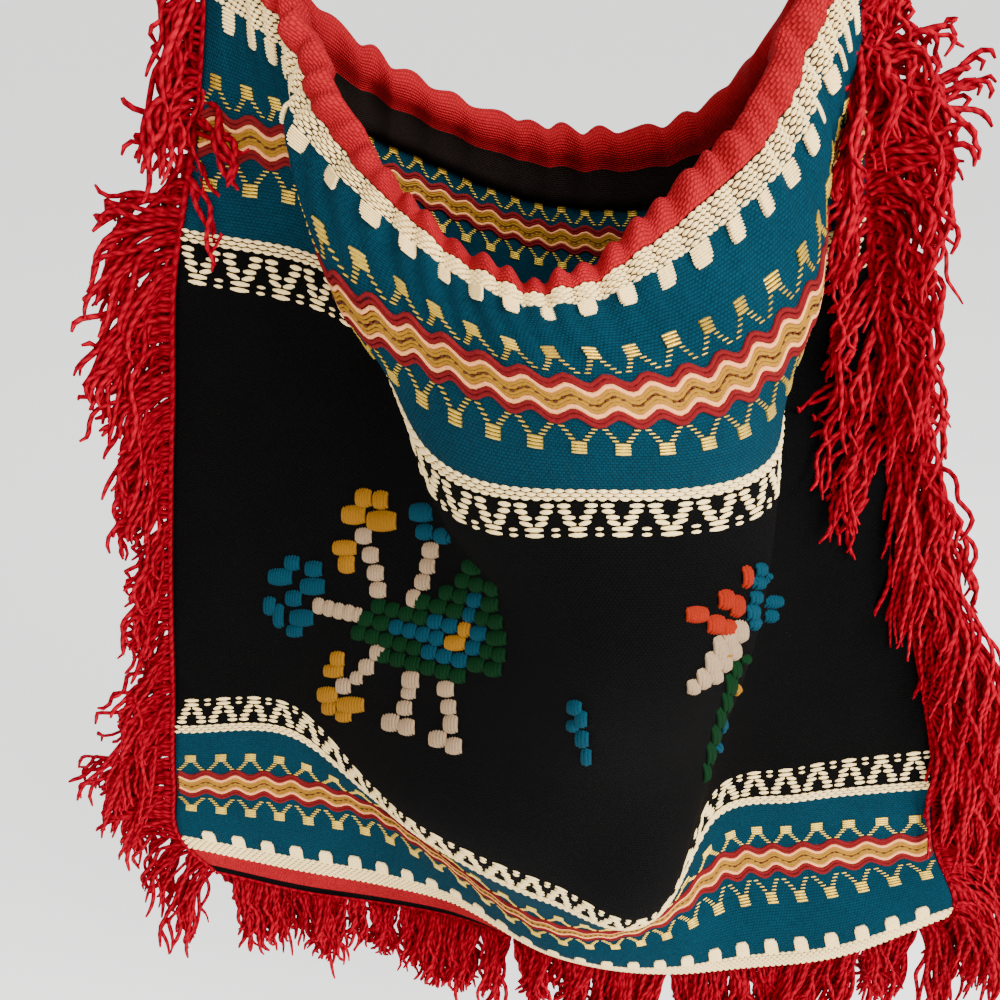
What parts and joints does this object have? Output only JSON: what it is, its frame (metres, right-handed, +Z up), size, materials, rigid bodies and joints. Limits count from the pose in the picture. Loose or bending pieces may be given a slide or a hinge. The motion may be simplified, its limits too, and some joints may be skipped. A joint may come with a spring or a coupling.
{
  "type": "embroidered shoulder bag",
  "caption": "Folk shoulder bag of woven wool with patterned borders, embroidered field, gathered open mouth, red yarn fringes and a flat strap.",
  "frame": {"origin": "underside of the top of the strap, where a hook or shoulder carries it", "axes": "+Z up, +Y from the front panel to the back panel, +X to the right seen from the front"},
  "size_m": [0.3728, 0.1411, 0.6376],
  "materials": {
    "woven_cloth": "matt woven wool, black field with teal, cream, red and yellow borders",
    "hem_wool": "matt plain-woven red wool",
    "fringe_wool": "matt two-ply red wool yarn",
    "strap_wool": "matt woven red wool band"
  },
  "bodies": {
    "root": {"front_panel": "woven_cloth", "back_panel": "woven_cloth", "front_hem": "hem_wool", "back_hem": "hem_wool", "fringe_left": "fringe_wool", "fringe_right": "fringe_wool", "fringe_bottom": "fringe_wool", "shoulder_strap": "strap_wool"}
  },
  "joints": []
}
